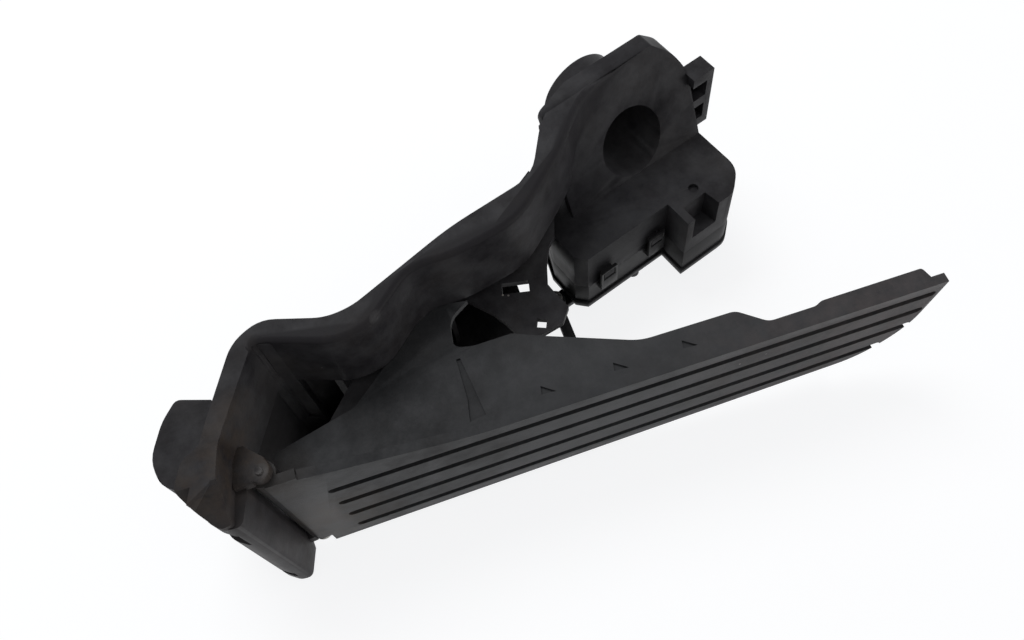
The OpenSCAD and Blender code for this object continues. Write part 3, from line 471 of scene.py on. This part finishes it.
def buildCoilTree():
    tree, given, out = newTree("woundWire", [
        ("Coil Radius", "NodeSocketFloat", 0.011), ("Wire Radius", "NodeSocketFloat", 0.0009),
        ("Pitch", "NodeSocketFloat", 0.0023), ("Turns", "NodeSocketInt", 4),
        ("Steps", "NodeSocketInt", 32),
        ("First Leg", "NodeSocketFloat", 0.001), ("Last Leg", "NodeSocketFloat", 0.003)])
    wound = mathNode(tree, "MULTIPLY", given["Turns"], given["Steps"])
    line = geometryNode(tree, "GeometryNodeCurvePrimitiveLine")
    points = geometryNode(tree, "GeometryNodeResampleCurve", Curve=line.outputs[0],
                          Count=mathNode(tree, "ADD", wound, 3.0))
    index = geometryNode(tree, "GeometryNodeInputIndex").outputs[0]
    turn = mathNode(tree, "DIVIDE", mathNode(tree, "SUBTRACT", index, 1.0), given["Steps"])
    turn = mathNode(tree, "MINIMUM", mathNode(tree, "MAXIMUM", turn, 0.0), given["Turns"])
    angle = mathNode(tree, "MULTIPLY", turn, 2 * math.pi)
    height = mathNode(tree, "MULTIPLY", turn, given["Pitch"])
    before = mathNode(tree, "MULTIPLY", mathNode(tree, "LESS_THAN", index, 0.5), given["First Leg"])
    lastOne = mathNode(tree, "GREATER_THAN", index, mathNode(tree, "ADD", wound, 1.5))
    after = mathNode(tree, "MULTIPLY", lastOne, given["Last Leg"])
    height = mathNode(tree, "ADD", mathNode(tree, "SUBTRACT", height, before), after)
    place = vectorOf(tree, mathNode(tree, "MULTIPLY", mathNode(tree, "COSINE", angle), given["Coil Radius"]),
                     mathNode(tree, "MULTIPLY", mathNode(tree, "SINE", angle), given["Coil Radius"]), height)
    path = geometryNode(tree, "GeometryNodeSetPosition", Geometry=points.outputs[0], Position=place)
    wire = geometryNode(tree, "GeometryNodeCurvePrimitiveCircle", Resolution=10, Radius=given["Wire Radius"])
    tube = geometryNode(tree, "GeometryNodeCurveToMesh", Curve=path.outputs[0], Profile_Curve=wire.outputs[0],
                        Fill_Caps=True)
    closeTree(tree, tube.outputs[0], out, materials["spring_steel"])
    return tree


coilTree = buildCoilTree()
tiltAngle = math.radians(springSizes["tilt"])
upDirection = Vector((0.0, math.sin(tiltAngle), math.cos(tiltAngle)))
backDirection = Vector((0.0, math.cos(tiltAngle), -math.sin(tiltAngle)))
shaftPlace = (fromHeel(springSizes["start"], springSizes["topY"], springSizes["topZ"])
              + (backDirection * springSizes["shaftV"] + upDirection * springSizes["shaftU"]) * mm)
turnOver = Matrix((upDirection, -backDirection, Vector((1.0, 0.0, 0.0)))).transposed().to_4x4()
turnOver.translation = shaftPlace
for pieceName, (node, radius, wire) in springSizes["coils"].items():
    spring = meshFromTree(coilTree, pieceName, {
        "Coil Radius": radius * mm, "Wire Radius": wire * mm, "Pitch": springSizes["pitch"] * mm,
        "Turns": springSizes["turns"], "Steps": springSizes["steps"],
        "First Leg": springSizes["firstLeg"] * mm, "Last Leg": springSizes["lastLeg"] * mm}, turnOver)
    spring.data.materials.append(materials["spring_steel"])
    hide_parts(node)
    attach(spring, "base")
    print("piece", pieceName, len(spring.data.polygons), "faces")

# Blade contacts of the connector: a row of flat pins with tapered tips.
bladeSizes = {"count": 6, "apart": 4.6, "x": -17.2, "y": 19.7, "z": -25.7, "wide": 0.8, "high": 1.6,
              "long": 8.6, "tip": 1.4, "tipScale": 0.5}


def buildBladeTree():
    tree, given, out = newTree("bladeRow", [
        ("Count", "NodeSocketInt", 6), ("Apart", "NodeSocketFloat", 0.0046),
        ("Wide", "NodeSocketFloat", 0.0008), ("High", "NodeSocketFloat", 0.0016),
        ("Long", "NodeSocketFloat", 0.0086), ("Tip", "NodeSocketFloat", 0.0014),
        ("Tip Scale", "NodeSocketFloat", 0.5)])
    size = vectorOf(tree, given["Wide"], given["Long"], given["High"])
    bar = geometryNode(tree, "GeometryNodeMeshCube", Size=size)
    facing = tree.nodes.new("ShaderNodeVectorMath")
    facing.operation = "DOT_PRODUCT"
    tree.links.new(tree.nodes.new("GeometryNodeInputNormal").outputs[0], facing.inputs[0])
    facing.inputs[1].default_value = (0.0, -1.0, 0.0)
    front = mathNode(tree, "GREATER_THAN", facing.outputs["Value"], 0.9)
    drawn = geometryNode(tree, "GeometryNodeExtrudeMesh", Mesh=bar.outputs[0], Selection=front,
                         Offset_Scale=given["Tip"])
    tapered = geometryNode(tree, "GeometryNodeScaleElements", Geometry=drawn.outputs["Mesh"],
                           Selection=drawn.outputs["Top"], Scale=given["Tip Scale"])
    row = geometryNode(tree, "GeometryNodeMeshLine", Count=given["Count"],
                       Offset=vectorOf(tree, given["Apart"]))
    blades = geometryNode(tree, "GeometryNodeInstanceOnPoints", Points=row.outputs[0],
                          Instance=tapered.outputs[0])
    closeTree(tree, blades.outputs[0], out, materials["bronze"])
    return tree


blades = meshFromTree(buildBladeTree(), "contactBlades", {
    "Count": bladeSizes["count"], "Apart": bladeSizes["apart"] * mm, "Wide": bladeSizes["wide"] * mm,
    "High": bladeSizes["high"] * mm, "Long": bladeSizes["long"] * mm, "Tip": bladeSizes["tip"] * mm,
    "Tip Scale": bladeSizes["tipScale"]},
    Matrix.Translation(fromHeel(bladeSizes["x"], bladeSizes["y"], bladeSizes["z"])))
blades.data.materials.append(materials["bronze"])
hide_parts("contact_pins")
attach(blades, "base")
print("piece contactBlades", len(blades.data.polygons), "faces")

# Table, lamps and camera.
stageSizes = {"x": 62.6, "size": 1500.0}
tableTones = {"glow": (0.985, 0.99, 1.0, 1), "glowStrength": 1.22, "glowShare": 0.70,
              "pale": (0.90, 0.90, 0.90, 1), "dull": (0.86, 0.86, 0.865, 1), "cloudScale": 14.0}
worldLight = {"always": 0.32, "whereSeen": 0.68}


# One for rays that show a surface in the picture, straight or in a reflection, and else nought.
def seenRay(tree):
    path = tree.nodes.new("ShaderNodeLightPath")
    mirrored = mathNode(tree, "MAXIMUM", path.outputs["Is Glossy Ray"], path.outputs["Is Transmission Ray"])
    return mathNode(tree, "MAXIMUM", path.outputs["Is Camera Ray"], mirrored)


def buildTable():
    mesh = bpy.data.meshes.new("table")
    x, s = stageSizes["x"] * mm, stageSizes["size"] * mm
    mesh.from_pydata([(x, -s, -s), (x, -s, s), (x, s, s), (x, s, -s)], [], [(0, 1, 2, 3)])
    table = bpy.data.objects.new("table", mesh)
    bpy.context.scene.collection.objects.link(table)
    material = bpy.data.materials.new("whiteTable")
    material.use_nodes = True
    tree = material.node_tree
    tree.nodes.clear()
    out = tree.nodes.new("ShaderNodeOutputMaterial")
    diffuse = tree.nodes.new("ShaderNodeBsdfDiffuse")
    glow = tree.nodes.new("ShaderNodeEmission")
    glow.inputs["Color"].default_value = tableTones["glow"]
    glow.inputs["Strength"].default_value = tableTones["glowStrength"]
    place = tree.nodes.new("ShaderNodeTexCoord").outputs["Object"]
    tone = mixColor(tree, noise(tree, place, tableTones["cloudScale"]), tableTones["pale"], tableTones["dull"])
    tree.links.new(tone, diffuse.inputs["Color"])
    mix = tree.nodes.new("ShaderNodeMixShader")
    tree.links.new(mathNode(tree, "MULTIPLY", seenRay(tree), tableTones["glowShare"]), mix.inputs[0])
    tree.links.new(diffuse.outputs[0], mix.inputs[1])
    tree.links.new(glow.outputs[0], mix.inputs[2])
    # The far side of the sheet is clear, so that views from behind still show the part.
    clear = tree.nodes.new("ShaderNodeBsdfTransparent")
    facing = tree.nodes.new("ShaderNodeNewGeometry")
    cut = tree.nodes.new("ShaderNodeMixShader")
    tree.links.new(facing.outputs["Backfacing"], cut.inputs[0])
    tree.links.new(mix.outputs[0], cut.inputs[1])
    tree.links.new(clear.outputs[0], cut.inputs[2])
    tree.links.new(cut.outputs[0], out.inputs["Surface"])
    mesh.materials.append(material)


buildTable()

world = bpy.data.worlds.new("studio")
bpy.context.scene.world = world
world.use_nodes = True
sky = world.node_tree
background = sky.nodes["Background"]
skySeen = mathNode(sky, "MULTIPLY", seenRay(sky), worldLight["whereSeen"])
sky.links.new(mathNode(sky, "ADD", skySeen, worldLight["always"]), background.inputs["Strength"])
background.inputs["Color"].default_value = (1.0, 1.0, 1.0, 1)

# Lamps: place from the middle of the part and width, in metres, then power and colour.
lampSizes = {
    "keyLamp": {"place": (-0.8, 0.4, -0.15), "size": 0.5, "energy": 2.9, "color": (0.97, 0.985, 1.0)},
    "frontLamp": {"place": (0.0, -0.7, 0.95), "size": 0.5, "energy": 4.2, "color": (1.0, 0.98, 0.965)},
    "backLamp": {"place": (0.5, 0.8, 0.6), "size": 0.8, "energy": 1.4, "color": (1.0, 1.0, 1.0)},
    "sideLamp": {"place": (0.8, -0.3, 0.4), "size": 0.8, "energy": 1.0, "color": (1.0, 1.0, 1.0)},
}
middle = fromHeel(10, 40, 100)
for lampName, spec in lampSizes.items():
    lamp = bpy.data.lights.new(lampName, "AREA")
    lamp.shape = "DISK"
    lamp.size = spec["size"]
    lamp.energy = spec["energy"]
    lamp.color = spec["color"]
    lampObj = bpy.data.objects.new(lampName, lamp)
    lampObj.location = middle + Vector(spec["place"])
    lampObj.rotation_euler = (middle - lampObj.location).to_track_quat("-Z", "Y").to_euler()
    bpy.context.scene.collection.objects.link(lampObj)

# The camera's place is in mm from the heel hinge; its lens and sensor are in mm, its clip in metres.
cameraSizes = {"place": (-290.4, -110.0, 71.05), "forward": (0.889, 0.453, 0.063),
               "up": (-0.4496, 0.840, 0.303), "sensor": 36.0, "lens": 31.64, "near": 0.01, "far": 20.0}
camera = bpy.data.cameras.new("photoCamera")
camera.sensor_width = cameraSizes["sensor"]
camera.lens = cameraSizes["lens"]
camera.clip_start = cameraSizes["near"]
camera.clip_end = cameraSizes["far"]
cameraObj = bpy.data.objects.new("photoCamera", camera)
viewForward = Vector(cameraSizes["forward"])
side = viewForward.cross(Vector(cameraSizes["up"])).normalized()
up = side.cross(viewForward).normalized()
turn = Matrix((side, up, -viewForward.normalized())).transposed().to_4x4()
turn.translation = fromHeel(*cameraSizes["place"])
cameraObj.matrix_world = turn
bpy.context.scene.collection.objects.link(cameraObj)
bpy.context.scene.camera = cameraObj
bpy.context.scene.view_settings.view_transform = "Standard"
print("stage, lamps and camera placed")
